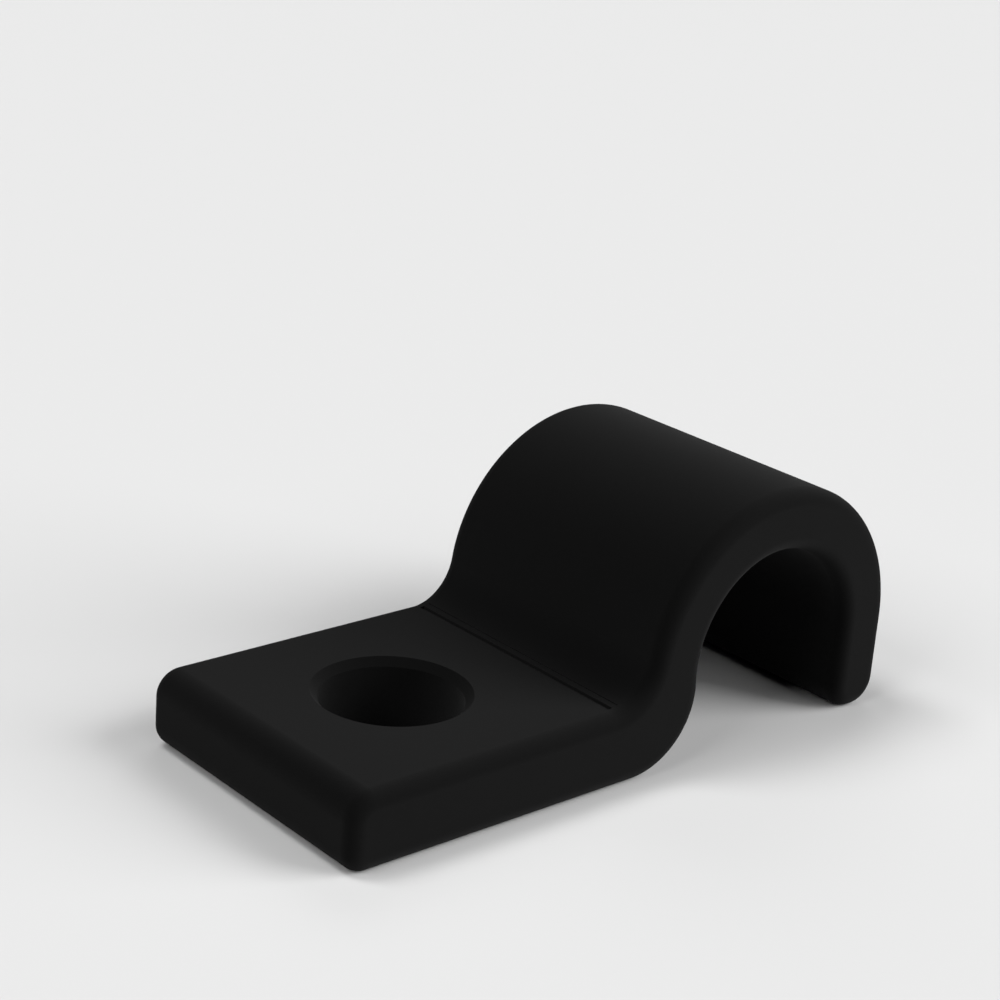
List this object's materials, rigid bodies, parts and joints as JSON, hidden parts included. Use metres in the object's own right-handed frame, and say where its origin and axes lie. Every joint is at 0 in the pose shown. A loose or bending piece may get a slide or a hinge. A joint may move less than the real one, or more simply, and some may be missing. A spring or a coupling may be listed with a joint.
{
  "type": "coaxial cable clip",
  "caption": "Moulded plastic clip: a flat tab with a screw hole bends up into an arch that holds a coaxial cable against a wall.",
  "frame": {"origin": "axis of the screw hole in the plane of the wall that the clip is screwed to", "axes": "+X from the screw hole to the cable, +Y along the cable, +Z away from the wall"},
  "size_m": [0.0216, 0.01, 0.0082],
  "materials": {
    "black_plastic": "moulded, fine matt"
  },
  "bodies": {
    "root": {"cable_clip": "black_plastic"}
  },
  "joints": []
}
